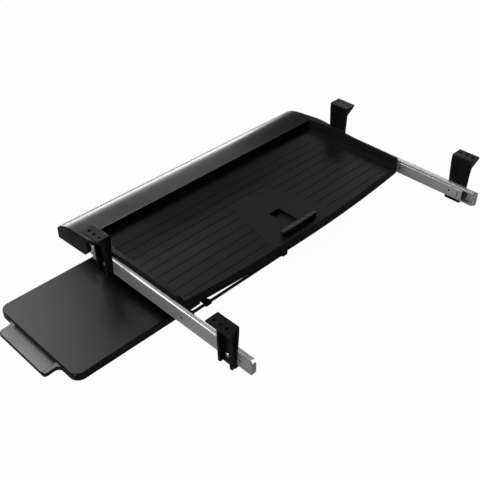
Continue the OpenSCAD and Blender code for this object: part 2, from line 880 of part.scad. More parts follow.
module stop_slider() {
    low = floor_low - slider_gap - slider_t;
    neck = slot_w / 2 - neck_gap;
    color("#2a2a2a") difference() {
        union() {
            translate([-neck - slider_lip, bar_y - slider_len / 2, low])
                cube([2 * (neck + slider_lip), slider_len, slider_t]);
            translate([-neck, bar_y - slider_len / 2 - slider_tail, low])
                cube([2 * neck, slider_tail + slider_len / 2, slider_t]);
            translate([-neck, bar_y - slider_len / 2 + 1, low]) cube([2 * neck, slider_len - 2, bar_low - low]);
        }
        at_stop_screws() translate([0, 0, low - cut]) {
            cylinder(h = bar_low - low + 2 * cut, d = stop_screw_d + 2 * fit_gap);
            cylinder(h = cut + slider_t * 0.8, d = 2.1 * stop_screw_d);
        }
    }
}

module stop_screws() {
    head = floor_low - slider_gap - slider_t * 0.2;
    color("#b8b8b8") at_stop_screws() translate([0, 0, head]) mirror([0, 0, 1])
        pan_screw(stop_screw_d, bar_top - head - 4, 2 * stop_screw_d, slider_t * 0.6);
}

// Stop bar as seen from above, grown by grow: both long sides bow outward
module bar_plan(grow) {
    bow_set = bar_bow_r - bar_d / 2;
    intersection() {
        translate([0, bar_y - bow_set]) circle(bar_bow_r + grow, $fn = 720);
        translate([0, bar_y + bow_set]) circle(bar_bow_r + grow, $fn = 720);
        translate([-bar_w / 2 - grow, bar_y - bar_d]) square([bar_w + 2 * grow, 2 * bar_d]);
    }
}

module stop_bar() {
    pitch = bar_w / bar_ridges;
    color("#303030") difference() {
        union() {
            difference() {
                translate([0, 0, bar_low]) linear_extrude(bar_top - bar_low) bar_plan(0);
                translate([0, 0, bar_low - cut]) linear_extrude(bar_top - bar_low + cut - bar_wall)
                    bar_plan(-bar_wall);
            }
            at_stop_screws() translate([0, 0, bar_low]) cylinder(h = bar_top - bar_low - 0.5, d = stop_post_d);
            intersection() {
                for (i = [0 : bar_ridges - 1])
                    translate([(i + 0.5) * pitch - bar_w / 2, bar_y - bar_d, bar_top + ridge_h - ridge_r])
                        rotate([-90, 0, 0]) cylinder(h = 2 * bar_d, r = ridge_r, $fn = 96);
                translate([0, 0, bar_top - bar_wall / 2]) linear_extrude(bar_wall) bar_plan(0);
            }
        }
        at_stop_screws() translate([0, 0, bar_low - cut])
            cylinder(h = bar_top - bar_low - 3 + cut, d = stop_screw_d + 2 * fit_gap);
    }
}

// Rods and hangers

module guide_rod(y) {
    color("#1c1c1c") translate([rod_left, y, rod_z]) rotate([0, 90, 0]) cylinder(h = rod_right - rod_left, d = rod_d);
}

module guide_rod_front() { guide_rod(rod_front_y); }
module guide_rod_rear() { guide_rod(rod_rear_y); }

// Hanger with its outer face at x = 0, its flange and its rod towards +x
module rod_hanger() {
    boss_r = rod_d / 2 + 2.5;
    color("#262626") difference() {
        union() {
            translate([0, -hanger_w / 2, hanger_seat - hanger_t]) cube([hanger_len, hanger_w, hanger_t]);
            translate([0, -boss_r, rod_z]) cube([hanger_post, 2 * boss_r, hanger_seat - rod_z - hanger_t / 2]);
            translate([0, 0, rod_z]) rotate([0, 90, 0]) cylinder(h = hanger_post, r = boss_r);
            along_y(-rib_t / 2, rib_t / 2) polygon([
                [hanger_post / 2, hanger_seat - hanger_t / 2],
                [hanger_post + hanger_gusset, hanger_seat - hanger_t / 2],
                [hanger_post + hanger_gusset, hanger_seat - hanger_t],
                [hanger_post, hanger_seat - hanger_t - hanger_gusset],
                [hanger_post / 2, hanger_seat - hanger_t - hanger_gusset]
            ]);
        }
        translate([hanger_end_wall, 0, rod_z]) rotate([0, 90, 0])
            cylinder(h = hanger_post, d = rod_d + 2 * fit_gap);
        for (u = hanger_screw_us) translate([u, 0, hanger_seat - hanger_t - cut])
            cylinder(h = hanger_t + 2 * cut, d = hanger_screw_d + 2 * fit_gap);
    }
}

module hanger_at_left(y) { translate([hanger_left, y, 0]) rod_hanger(); }
module hanger_at_right(y) { translate([hanger_right, y, 0]) mirror([1, 0, 0]) rod_hanger(); }
module rod_hanger_front_left() { hanger_at_left(rod_front_y); }
module rod_hanger_front_right() { hanger_at_right(rod_front_y); }
module rod_hanger_rear_left() { hanger_at_left(rod_rear_y); }
module rod_hanger_rear_right() { hanger_at_right(rod_rear_y); }

module hanger_screws() {
    color("#b8b8b8") at_hangers() for (u = hanger_screw_us)
        translate([u, 0, hanger_seat - hanger_t]) mirror([0, 0, 1])
            pan_screw(hanger_screw_d, hanger_screw_len, hanger_head_d, hanger_head_h);
}

// Mouse platform

module platform_plan(t) {
    x0 = platform_left + t;
    x1 = platform_right - t;
    y0 = platform_front + t;
    y1 = platform_rear - t;
    difference() {
        translate([x0, y0]) square([x1 - x0, y1 - y0]);
        translate([x0, y0]) corner_waste(inner_corner_r - t);
        translate([x0, y1]) mirror([0, 1]) corner_waste(inner_corner_r - t);
        translate([x1, y0]) mirror([1, 0]) corner_waste(corner_r - t);
        translate([x1, y1]) rotate(180) corner_waste(corner_r - t);
    }
}

// Solid slab with its upper edge rounded all round
module platform_slab() {
    roll_z = platform_top - edge_r;
    left = platform_left + inner_corner_r;
    right = platform_right - corner_r;
    translate([0, 0, platform_low]) linear_extrude(platform_t - edge_r) platform_plan(0);
    translate([0, 0, platform_low]) linear_extrude(platform_t) platform_plan(edge_r);
    for (y = [platform_front + edge_r, platform_rear - edge_r])
        translate([left, y, roll_z]) rotate([0, 90, 0]) cylinder(h = right - left, r = edge_r);
    for (side = [[platform_left + edge_r, inner_corner_r], [platform_right - edge_r, corner_r]])
        translate([side[0], platform_rear - side[1], roll_z]) rotate([90, 0, 0])
            cylinder(h = platform_d - 2 * side[1], r = edge_r);
    for (side = [[left, inner_corner_r], [right, corner_r]], end = [0, 1])
        translate([side[0], end > 0 ? platform_rear - side[1] : platform_front + side[1], roll_z])
            rotate_extrude($fn = 96) translate([side[1] - edge_r, 0]) circle(edge_r);
}

module handle_plan(t) {
    half = handle_w / 2 - t;
    reach = handle_reach - t;
    translate([platform_right, (platform_front + platform_rear) / 2]) {
        difference() {
            translate([-corner_r / 2, -half]) square([reach + corner_r / 2, 2 * half]);
            translate([reach, -half]) mirror([1, 0]) corner_waste(handle_corner - t);
            translate([reach, half]) rotate(180) corner_waste(handle_corner - t);
        }
        if (t == 0) for (end = [0, 1]) mirror([0, end]) translate([0, half]) fillet(handle_fillet);
    }
}

// Handle as seen along the tray's depth: its outer lip is half round
module handle_section() {
    lip_r = handle_t / 2;
    translate([platform_right - corner_r, handle_top - handle_t]) square([handle_reach + corner_r - lip_r, handle_t]);
    translate([platform_right + handle_reach - lip_r, handle_top - lip_r]) circle(lip_r);
}

module handle() {
    difference() {
        intersection() {
            translate([0, 0, handle_top - handle_t]) linear_extrude(handle_t) handle_plan(0);
            along_y(platform_front, platform_rear) handle_section();
        }
        translate([platform_right + handle_reach / 2 - 1, 0, handle_top + scoop_r - scoop_depth])
            rotate([90, 0, 0]) translate([0, 0, -(platform_front + platform_rear) / 2])
                cylinder(h = handle_w - 2 * handle_corner, r = scoop_r, center = true, $fn = 180);
        translate([0, 0, handle_top - handle_t - cut])
            linear_extrude(handle_t - scoop_depth - wall_t + cut) intersection() {
                handle_plan(wall_t);
                translate([platform_right, platform_front]) square([handle_reach, platform_d]);
            }
    }
}

module platform_ribs() {
    low = platform_low + 4;
    height = platform_t - 4 - wall_t / 2;
    for (x = [platform_left + platform_rib_pitch_x : platform_rib_pitch_x : platform_right - wall_t])
        translate([x - rib_t / 2, platform_front + wall_t / 2, low]) cube([rib_t, platform_d - wall_t, height]);
    for (y = [platform_front + platform_rib_pitch_y : platform_rib_pitch_y : platform_rear - wall_t])
        translate([platform_left + wall_t / 2, y - rib_t / 2, low]) cube([platform_w - wall_t, rib_t, height]);
}

module at_glide(x, end) {
    translate([x, end > 0 ? rod_rear_y : rod_front_y, 0]) mirror([0, end > 0 ? 0 : 1, 0]) children();
}

module at_glides() {
    for (x = glide_xs, end = [-1, 1]) at_glide(x, end) children();
}

module platform() {
    inner_y = -rod_gap - wall_t;
    color("#1e1e1e") difference() {
        union() {
            difference() {
                platform_slab();
                translate([0, 0, platform_low - cut]) linear_extrude(platform_t - wall_t + cut) platform_plan(wall_t);
            }
            difference() {
                platform_ribs();
                at_glides() translate([-rib_t, inner_y - glide_foot_w - glide_inset - rib_t, platform_low - cut])
                    cube([glide_foot_len + 2 * rib_t, glide_foot_w + glide_inset + rib_t, platform_t - wall_t + cut]);
            }
            handle();
            at_glides() translate([glide_screw_x, glide_screw_y, glide_foot_top])
                cylinder(h = platform_top - wall_t / 2 - glide_foot_top, d = glide_boss_d);
        }
        at_glides() translate([-run_gap, inner_y - cut, platform_low - cut])
            cube([glide_w + 2 * run_gap, wall_t + 2 * cut, rod_z - platform_low + glide_arm_t / 2 + run_gap + cut]);
        at_glides() translate([glide_screw_x, glide_screw_y, glide_foot_top - cut])
            cylinder(h = glide_screw_len - glide_foot_t + 0.3 + cut, d = glide_screw_d + 2 * fit_gap);
    }
}

// Glide with its left end at x = 0, the platform towards -y
module glide() {
    arm = rod_gap + wall_t + glide_inset + 3;
    color("#1f1f1f") difference() {
        union() {
            translate([0, 0, rod_z]) rotate([0, 90, 0]) cylinder(h = glide_w, r = glide_ring_r);
            translate([0, -arm, rod_z - glide_arm_t / 2]) cube([glide_w, arm, glide_arm_t]);
            translate([0, glide_screw_y - glide_foot_w / 2, glide_foot_top - glide_foot_t])
                cube([glide_foot_len, glide_foot_w, glide_foot_t]);
        }
        translate([-cut, 0, rod_z]) rotate([0, 90, 0])
            cylinder(h = glide_w + 2 * cut, d = rod_d + 2 * glide_run_gap);
        translate([-cut, 0, rod_z]) rotate([-glide_mouth_turn, 0, 0]) translate([0, 0, -glide_mouth_w / 2])
            cube([glide_w + 2 * cut, 2 * glide_ring_r, glide_mouth_w]);
        translate([glide_screw_x, glide_screw_y, glide_foot_top - glide_foot_t - cut])
            cylinder(h = glide_foot_t + 2 * cut, d = glide_screw_d + 2 * fit_gap);
    }
}

module glide_front_left() { at_glide(glide_left_x, -1) glide(); }
module glide_front_right() { at_glide(glide_right_x, -1) glide(); }
module glide_rear_left() { at_glide(glide_left_x, 1) glide(); }
module glide_rear_right() { at_glide(glide_right_x, 1) glide(); }

module glide_screws() {
    color("#b8b8b8") at_glides() translate([glide_screw_x, glide_screw_y, glide_foot_top - glide_foot_t])
        mirror([0, 0, 1]) pan_screw(glide_screw_d, glide_screw_len, 2 * glide_screw_d, 1.8);
}

bracket_front_right();
bracket_front_left();
bracket_rear_right();
bracket_rear_left();
outer_rail_right();
outer_rail_left();
bracket_screws();
closing_buffers();
ball_cage_right();
ball_cage_left();
balls_right();
balls_left();
inner_rail_right();
inner_rail_left();
rail_screws();
tray();
guide_rod_front();
guide_rod_rear();
rod_hanger_front_left();
rod_hanger_front_right();
rod_hanger_rear_left();
rod_hanger_rear_right();
hanger_screws();
track_cover();
track_screws();
platform();
glide_front_left();
glide_front_right();
glide_rear_left();
glide_rear_right();
glide_screws();
stop_bar();
stop_slider();
stop_screws();
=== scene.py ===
import json
import math

import bmesh
import bpy
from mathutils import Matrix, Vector

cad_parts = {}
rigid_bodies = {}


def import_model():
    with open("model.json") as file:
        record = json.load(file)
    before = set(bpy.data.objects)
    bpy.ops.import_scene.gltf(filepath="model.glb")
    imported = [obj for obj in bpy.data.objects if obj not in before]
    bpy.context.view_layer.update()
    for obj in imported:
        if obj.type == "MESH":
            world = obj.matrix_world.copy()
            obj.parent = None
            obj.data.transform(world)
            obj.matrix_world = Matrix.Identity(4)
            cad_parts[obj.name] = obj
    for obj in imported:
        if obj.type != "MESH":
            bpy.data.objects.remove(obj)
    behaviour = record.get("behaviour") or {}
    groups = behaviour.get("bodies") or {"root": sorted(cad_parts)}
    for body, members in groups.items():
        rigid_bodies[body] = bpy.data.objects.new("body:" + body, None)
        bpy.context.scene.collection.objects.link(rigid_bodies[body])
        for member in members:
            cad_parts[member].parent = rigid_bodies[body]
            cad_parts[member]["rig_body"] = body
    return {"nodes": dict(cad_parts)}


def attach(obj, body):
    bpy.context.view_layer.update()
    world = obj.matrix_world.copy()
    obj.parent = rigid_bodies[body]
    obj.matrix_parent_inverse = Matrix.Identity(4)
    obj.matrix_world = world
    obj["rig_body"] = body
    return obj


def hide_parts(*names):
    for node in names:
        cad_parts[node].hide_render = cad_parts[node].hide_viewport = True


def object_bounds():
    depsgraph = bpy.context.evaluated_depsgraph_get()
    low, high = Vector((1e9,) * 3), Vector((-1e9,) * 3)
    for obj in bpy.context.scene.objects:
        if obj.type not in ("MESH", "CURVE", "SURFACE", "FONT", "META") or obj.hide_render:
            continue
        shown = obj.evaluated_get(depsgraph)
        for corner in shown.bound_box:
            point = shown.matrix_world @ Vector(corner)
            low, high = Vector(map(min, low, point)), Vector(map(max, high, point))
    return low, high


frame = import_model()
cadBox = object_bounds()
nodes = frame["nodes"]
print("frame loaded:", len(nodes), "nodes")


# Camera, at the photograph's angle

cameraRig = {
    "place": (0.7719, 0.6478, 0.6762),
    "azimuth": math.radians(134.94),
    "elevation": math.radians(37.62),
    "lens": 56.68,
    "sensor": 36.0,
    "farthest": 60.0,
}


def placeCamera(rig):
    camera = bpy.data.objects.new("camera", bpy.data.cameras.new("camera"))
    bpy.context.scene.collection.objects.link(camera)
    around, above = rig["azimuth"], rig["elevation"]
    back = Vector((
        math.sin(around) * math.cos(above),
        -math.cos(around) * math.cos(above),
        math.sin(above),
    ))
    camera.location = rig["place"]
    camera.rotation_mode = "QUATERNION"
    camera.rotation_quaternion = (-back).to_track_quat("-Z", "Y")
    camera.data.lens = rig["lens"]
    camera.data.sensor_width = rig["sensor"]
    camera.data.clip_end = rig["farthest"]
    bpy.context.scene.camera = camera


placeCamera(cameraRig)


# Node helpers

def newMaterial(name):
    material = bpy.data.materials.new(name)
    material.use_nodes = True
    tree = material.node_tree
    shader = tree.nodes["Principled BSDF"]
    return material, tree, shader


def addNode(tree, kind, **values):
    node = tree.nodes.new(kind)
    for key, value in values.items():
        if key in node.inputs:
            node.inputs[key].default_value = value
        else:
            setattr(node, key, value)
    return node


def objectPattern(tree, stretch=(1, 1, 1)):
    place = addNode(tree, "ShaderNodeTexCoord")
    mapping = addNode(tree, "ShaderNodeMapping")
    mapping.inputs["Scale"].default_value = stretch
    tree.links.new(place.outputs["Object"], mapping.inputs["Vector"])
    return mapping.outputs["Vector"]


def noise(tree, vector, scale, detail, rough=0.55):
    texture = addNode(tree, "ShaderNodeTexNoise", Scale=scale, Detail=detail, Roughness=rough)
    tree.links.new(vector, texture.inputs["Vector"])
    return texture.outputs["Fac"]


def remap(tree, value, span, target=(0, 1)):
    node = addNode(tree, "ShaderNodeMapRange")
    node.inputs["From Min"].default_value, node.inputs["From Max"].default_value = span
    node.inputs["To Min"].default_value, node.inputs["To Max"].default_value = target
    tree.links.new(value, node.inputs["Value"])
    return node.outputs["Result"]


def mathNode(tree, operation, first, second):
    node = addNode(tree, "ShaderNodeMath", operation=operation)
    for socket, value in zip(node.inputs, (first, second)):
        if isinstance(value, (int, float)):
            socket.default_value = value
        else:
            tree.links.new(value, socket)
    return node.outputs["Value"]


def mix(tree, kind, factor, first, second):
    node = addNode(tree, "ShaderNodeMix", data_type=kind)
    tree.links.new(factor, node.inputs["Factor"])
    for socket, value in ((node.inputs["A"], first), (node.inputs["B"], second)):
        if isinstance(value, (float, tuple)):
            socket.default_value = value
        else:
            tree.links.new(value, socket)
    return node.outputs["Result"]


def bumpFrom(tree, height, distance):
    node = addNode(tree, "ShaderNodeBump", Distance=distance)
    tree.links.new(height, node.inputs["Height"])
    return node.outputs["Normal"]


# One value on the first side of a line across the piece, another on its far side
def acrossLine(tree, spot, line, first, second):
    split = addNode(tree, "ShaderNodeSeparateXYZ")
    tree.links.new(spot, split.inputs["Vector"])
    return remap(tree, split.outputs[line["axis"]], line["border"], (first, second))


def grey(value):
    return (value, value, value, 1)


# Finishes

# Bevel sampling for the lighter edges, partly rubbed wear and partly a painted highlight
wearAndSheenEdge = {"samples": 4, "openCosine": 1.0, "edgeCosine": 0.86}
plasticPattern = {
    "cloudDetail": 3, "cloudSpan": (0.35, 0.65), "grainDetail": 2, "grainRough": 0.6,
    "patchDetail": 2, "patchSpan": (0.2, 0.8), "wearAndSheenSpan": (0.3, 0.6), "wearAndSheenRange": (0.4, 1),
}
steelPattern = {
    "streakDetail": 5, "streakSpan": (0.35, 0.65), "cloudDetail": 3, "cloudSpan": (0.4, 0.7),
    "roughSpan": (0.3, 0.7), "spangleSpan": (0, 0.6),
}


# 1 along the edges within the radius, 0 on open faces: where the edges get a lighter grey, partly rubbed wear
# and partly a painted highlight
def edgeWearAndSheen(tree, radius):
    rounded = addNode(tree, "ShaderNodeBevel", samples=wearAndSheenEdge["samples"], Radius=radius)
    geometry = addNode(tree, "ShaderNodeNewGeometry")
    cosine = addNode(tree, "ShaderNodeVectorMath", operation="DOT_PRODUCT")
    tree.links.new(rounded.outputs["Normal"], cosine.inputs[0])
    tree.links.new(geometry.outputs["Normal"], cosine.inputs[1])
    return remap(tree, cosine.outputs["Value"], (wearAndSheenEdge["openCosine"], wearAndSheenEdge["edgeCosine"]))


# The specular level, changed by each layer on the first side of its line
def layeredShine(tree, spot, look):
    shine = look["specular"]
    for layer in look["shine"]:
        side = acrossLine(tree, spot, layer, 1, 0)
        shine = mix(tree, "FLOAT", side, shine, layer["specular"])
    return shine


def mouldedPlastic(name, look):
    material, tree, shader = newMaterial(name)
    pattern = plasticPattern
    spot = objectPattern(tree)
    cloud = noise(tree, spot, look["cloudScale"], pattern["cloudDetail"])
    grain = noise(tree, spot, look["grainScale"], pattern["grainDetail"], pattern["grainRough"])
    patches = noise(tree, spot, look["patchScale"], pattern["patchDetail"])
    clouded = remap(tree, cloud, pattern["cloudSpan"])
    colour = mix(tree, "RGBA", clouded, grey(look["dark"]), grey(look["light"]))
    # Edges lightened towards a grey: partly rubbed wear, partly a painted highlight standing in for the
    # glints on edges and groove lips
    uneven = remap(tree, cloud, pattern["wearAndSheenSpan"], pattern["wearAndSheenRange"])
    wearAndSheen = mathNode(tree, "MULTIPLY", edgeWearAndSheen(tree, look["wearAndSheenWidth"]), uneven)
    colour = mix(tree, "RGBA", mathNode(tree, "MULTIPLY", wearAndSheen, look["wearAndSheen"]), colour, grey(look["wearAndSheenGrey"]))
    tree.links.new(colour, shader.inputs["Base Color"])
    rough = remap(tree, patches, pattern["patchSpan"], look["rough"])
    if "polish" in look:
        polish = look["polish"]
        grain = mathNode(tree, "MULTIPLY", grain, acrossLine(tree, spot, polish, polish["grain"], 1))
        rough = mathNode(tree, "MULTIPLY", rough, acrossLine(tree, spot, polish, polish["rough"], 1))
    tree.links.new(rough, shader.inputs["Roughness"])
    shader.inputs["Specular IOR Level"].default_value = look["specular"]
    if "shine" in look:
        tree.links.new(layeredShine(tree, spot, look), shader.inputs["Specular IOR Level"])
    tree.links.new(bumpFrom(tree, grain, look["grainDepth"]), shader.inputs["Normal"])
    return material


def rolledSteel(name, look):
    material, tree, shader = newMaterial(name)
    pattern = steelPattern
    spot = objectPattern(tree)
    along = objectPattern(tree, look["rolling"])
    rolled = noise(tree, along, look["streakScale"], pattern["streakDetail"])
    cloud = noise(tree, spot, look["cloudScale"], pattern["cloudDetail"])
    spangle = addNode(tree, "ShaderNodeTexVoronoi", Scale=look["spangleScale"])
    tree.links.new(spot, spangle.inputs["Vector"])
    colour = mix(tree, "RGBA", remap(tree, rolled, pattern["streakSpan"]), look["dark"], look["light"])
    haze = mathNode(tree, "MULTIPLY", remap(tree, cloud, pattern["cloudSpan"]), look["haze"])
    tree.links.new(mix(tree, "RGBA", haze, colour, look["hazeColour"]), shader.inputs["Base Color"])
    shader.inputs["Metallic"].default_value = look["metallic"]
    streaks = remap(tree, rolled, pattern["roughSpan"], (0, look["roughSpread"]))
    spots = remap(tree, spangle.outputs["Distance"], pattern["spangleSpan"], (0, look["spangleRough"]))
    uneven = mathNode(tree, "ADD", streaks, spots)
    tree.links.new(mathNode(tree, "ADD", uneven, look["rough"]), shader.inputs["Roughness"])
    tree.links.new(bumpFrom(tree, rolled, look["streakDepth"]), shader.inputs["Normal"])
    return material


# The palm rest is smoother than the floor, its flat duller than its nose, and the pull handle shinier
plasticLooks = {
    "trayPlastic": {
        "dark": 0.0045, "light": 0.0065, "cloudScale": 7.0, "grainScale": 850.0, "grainDepth": 0.00008,
        "patchScale": 16.0, "rough": (0.39, 0.45), "specular": 0.2,
        "wearAndSheenWidth": 0.001, "wearAndSheen": 0.5, "wearAndSheenGrey": 0.03,
        "polish": {"axis": "Y", "border": (-0.196, -0.189), "grain": 0.12, "rough": 0.72},
        "shine": [
            {"axis": "Z", "border": (-0.055, -0.058), "specular": 0.12},
            {"axis": "Y", "border": (-0.256, -0.23), "specular": 0.34},
        ],
    },
    "bracketPlastic": {
        "dark": 0.005, "light": 0.008, "cloudScale": 30.0, "grainScale": 1100.0, "grainDepth": 0.00006,
        "patchScale": 45.0, "rough": (0.29, 0.36), "specular": 0.2,
        "wearAndSheenWidth": 0.0005, "wearAndSheen": 0.3, "wearAndSheenGrey": 0.02,
    },
    "platformPlastic": {
        "dark": 0.0045, "light": 0.0065, "cloudScale": 9.0, "grainScale": 1500.0, "grainDepth": 0.00003,
        "patchScale": 20.0, "rough": (0.3, 0.38), "specular": 0.32,
        "wearAndSheenWidth": 0.001, "wearAndSheen": 0.4, "wearAndSheenGrey": 0.025,
        "shine": [{"axis": "X", "border": (0.4378, 0.4374), "specular": 0.56}],
    },
    "glidePlastic": {
        "dark": 0.006, "light": 0.009, "cloudScale": 40.0, "grainScale": 1500.0, "grainDepth": 0.00002,
        "patchScale": 60.0, "rough": (0.3, 0.4), "specular": 0.4,
        "wearAndSheenWidth": 0.0006, "wearAndSheen": 0.5, "wearAndSheenGrey": 0.03,
    },
    "blackRubber": {
        "dark": 0.009, "light": 0.013, "cloudScale": 60.0, "grainScale": 2200.0, "grainDepth": 0.00005,
        "patchScale": 80.0, "rough": (0.34, 0.46), "specular": 0.6,
        "wearAndSheenWidth": 0.0006, "wearAndSheen": 0.4, "wearAndSheenGrey": 0.04,
    },
    "blackRod": {
        "dark": 0.008, "light": 0.012, "cloudScale": 50.0, "grainScale": 1800.0, "grainDepth": 0.00001,
        "patchScale": 70.0, "rough": (0.24, 0.36), "specular": 0.6,
        "wearAndSheenWidth": 0.0005, "wearAndSheen": 0.4, "wearAndSheenGrey": 0.06,
    },
}
steelLooks = {
    "zincSteel": {
        "dark": (0.68, 0.685, 0.69, 1), "light": (0.76, 0.765, 0.77, 1), "hazeColour": (0.56, 0.565, 0.57, 1),
        "haze": 0.3, "metallic": 0.6, "cloudScale": 24.0,
        "rolling": (1, 0.05, 1), "streakScale": 420.0, "streakDepth": 0.000002, "spangleScale": 260.0,
        "rough": 0.24, "roughSpread": 0.08, "spangleRough": 0.03,
    },
    "cageSteel": {
        "dark": (0.3, 0.29, 0.26, 1), "light": (0.42, 0.4, 0.36, 1), "hazeColour": (0.24, 0.22, 0.18, 1),
        "haze": 0.4, "metallic": 1.0, "cloudScale": 60.0,
        "rolling": (1, 0.08, 1), "streakScale": 600.0, "streakDepth": 0.00001, "spangleScale": 500.0,
        "rough": 0.3, "roughSpread": 0.15, "spangleRough": 0.06,
    },
    "ballSteel": {
        "dark": (0.72, 0.72, 0.73, 1), "light": (0.8, 0.8, 0.81, 1), "hazeColour": (0.6, 0.57, 0.5, 1),
        "haze": 0.25, "metallic": 1.0, "cloudScale": 300.0,
        "rolling": (1, 1, 1), "streakScale": 900.0, "streakDepth": 0.000002, "spangleScale": 700.0,
        "rough": 0.08, "roughSpread": 0.08, "spangleRough": 0.03,
    },
    "screwSteel": {
        "dark": (0.62, 0.62, 0.62, 1), "light": (0.76, 0.76, 0.77, 1), "hazeColour": (0.5, 0.5, 0.5, 1),
        "haze": 0.3, "metallic": 1.0, "cloudScale": 160.0,
        "rolling": (1, 1, 1), "streakScale": 900.0, "streakDepth": 0.000006, "spangleScale": 800.0,
        "rough": 0.22, "roughSpread": 0.12, "spangleRough": 0.05,
    },
}
finishes = {name: mouldedPlastic(name, look) for name, look in plasticLooks.items()}
finishes.update({name: rolledSteel(name, look) for name, look in steelLooks.items()})
print("finishes made:", len(finishes))


# Nose of the palm rest

trayNose = {
    "slope": math.radians(5.7), "lipZ": -0.0426, "lipEnd": -0.1646, "middle": -0.2326, "radius": 0.0495,
    "start": -0.208, "end": -0.264, "cuts": 18, "weld": 0.00001, "near": 0.0003,
    "above": -0.08, "topFacing": 0.5,
}


# Height of the palm rest's top at depth y: a flat slope, then the nose's arc
def palmTop(y, nose):
    slope = math.tan(nose["slope"])
    rise = nose["radius"] / math.cos(nose["slope"])
    axisZ = nose["lipZ"] - (nose["lipEnd"] - nose["middle"]) * slope - rise
    if y > nose["middle"] - nose["radius"] * math.sin(nose["slope"]):
        return axisZ + rise + (y - nose["middle"]) * slope
    return axisZ + math.sqrt(nose["radius"] ** 2 - (y - nose["middle"]) ** 2)


def onPalmTop(face, nose):
    depths = [vert.co.y for vert in face.verts]
    lowest = min(vert.co.z for vert in face.verts)
    within = min(depths) < nose["start"] and max(depths) > nose["end"]
    return within and lowest > nose["above"] and face.normal.z > nose["topFacing"]


# Lets the flat run into the nose gradually, by a few tenths of a millimetre
def fairNose(bm, nose):
    start, end = nose["start"], nose["end"]
    length = start - end
    for i in range(nose["cuts"] + 1):
        top = [face for face in bm.faces if onPalmTop(face, nose)]
        verts = {vert for face in top for vert in face.verts}
        edges = {edge for face in top for edge in face.edges}
        place = (0, start - length * i / nose["cuts"], 0)
        bmesh.ops.bisect_plane(
            bm, geom=[*verts, *edges, *top], dist=nose["weld"], plane_co=place, plane_no=(0, 1, 0))
    flat = math.tan(nose["slope"])
    steep = math.tan(math.asin((nose["middle"] - end) / nose["radius"]))
    drop = palmTop(start, nose) - palmTop(end, nose)
    power = (steep - flat) * length / (drop - flat * length)
    for vert in bm.verts:
        y = vert.co.y
        if end < y < start and abs(vert.co.z - palmTop(y, nose)) < nose["near"]:
            share = (start - y) / length
            fall = flat * share + (steep - flat) * share ** power / power
            vert.co.z = palmTop(start, nose) - length * fall
    bm.normal_update()


# Shoulders of the tray: the upper outer edges of its side walls and of the palm rest's ends

trayShoulder = {
    "round": 0.0024, "segments": 4, "sharpAbove": math.radians(50),
    "beyond": 0.2675, "above": -0.079, "noseBefore": -0.232,
    "sideFacing": 0.9, "upright": 0.3, "topFacing": 0.5,
}


def onShoulder(edge, shoulder):
    if len(edge.link_faces) != 2 or edge.calc_face_angle(0) < shoulder["sharpAbove"]:
        return False
    side, top = sorted(edge.link_faces, key=lambda face: -abs(face.normal.x))
    middle = (edge.verts[0].co + edge.verts[1].co) / 2
    outward = side.normal.x * middle.x > 0 and abs(side.normal.x) > shoulder["sideFacing"]
    placed = abs(middle.x) > shoulder["beyond"] and middle.z > shoulder["above"]
    upper = top.normal.z > shoulder["topFacing"] or middle.y < shoulder["noseBefore"]
    return outward and placed and upper and abs(top.normal.x) < shoulder["upright"]


# Grip of the pull handle

platformGrip = {
    "from": 0.4372, "reach": 0.0258, "fall": 0.0016, "top": -0.098, "near": 0.00005,
    "troughX": 0.449, "troughR": 0.06, "troughDepth": 0.0022, "middle": -0.0985, "half": 0.0521,
}


# Fills the handle's shallow trough and lets its top fall away towards the lip
def crownGrip(bm, grip):
    axisZ = grip["top"] + grip["troughR"] - grip["troughDepth"]
    for vert in bm.verts:
        out = vert.co.x - grip["from"]
        if out <= 0:
            continue
        reach = math.hypot(vert.co.x - grip["troughX"], vert.co.z - axisZ)
        inTrough = abs(reach - grip["troughR"]) < grip["near"]
        if inTrough and abs(vert.co.y - grip["middle"]) < grip["half"]:
            vert.co.z = grip["top"] - grip["near"]
        vert.co.z -= grip["fall"] * min(1, out / grip["reach"]) ** 2
    bm.normal_update()


# Softened copies of the solids: merged, flat faces joined, edges rounded

softLook = {
    "merge": 0.000004,
    "flatWithin": math.radians(0.4),
    "sharpAbove": math.radians(32),
    "segments": 2,
}
reshaped = {
    "tray": {"nose": trayNose, "shoulder": trayShoulder},
    "platform": {"grip": platformGrip},
}


def roundEdges(bm, edges, radius, segments, clamp):
    bmesh.ops.bevel(
        bm, geom=edges, offset=radius, offset_type="OFFSET", segments=segments, profile=0.5,
        affect="EDGES", clamp_overlap=clamp, material=-1, loop_slide=True)


def softenedCopy(name, look):
    mesh = nodes[name].data.copy()
    mesh.name = name + "_soft"
    piece = bpy.data.objects.new(name + "_soft", mesh)
    bpy.context.scene.collection.objects.link(piece)
    bm = bmesh.new()
    bm.from_mesh(mesh)
    bmesh.ops.remove_doubles(bm, verts=bm.verts, dist=look["merge"])
    bmesh.ops.dissolve_limit(
        bm, angle_limit=look["flatWithin"], verts=bm.verts, edges=bm.edges, use_dissolve_boundaries=False)
    bm.normal_update()
    if "grip" in look:
        crownGrip(bm, look["grip"])
    if "nose" in look:
        fairNose(bm, look["nose"])
    if "shoulder" in look:
        shoulder = look["shoulder"]
        edges = [edge for edge in bm.edges if onShoulder(edge, shoulder)]
        print(name, "shoulder edges:", len(edges))
        roundEdges(bm, edges, shoulder["round"], shoulder["segments"], clamp=False)
        bm.normal_update()
    sharp = [edge for edge in bm.edges
             if len(edge.link_faces) == 2 and edge.calc_face_angle(0) > look["sharpAbove"]]
    roundEdges(bm, sharp, look["round"], look["segments"], clamp=True)
    bm.to_mesh(mesh)
    bm.free()
    mesh.shade_smooth()
    mesh.set_sharp_from_angle(angle=look["sharpAbove"])
    even = piece.modifiers.new("evenShading", "WEIGHTED_NORMAL")
    even.keep_sharp = True
    return piece


def dress(piece, finish):
    piece.data.materials.clear()
    piece.data.materials.append(finishes[finish])


def corners(kind):
    return [f"{kind}_{end}_{side}" for end in ("front", "rear") for side in ("right", "left")]


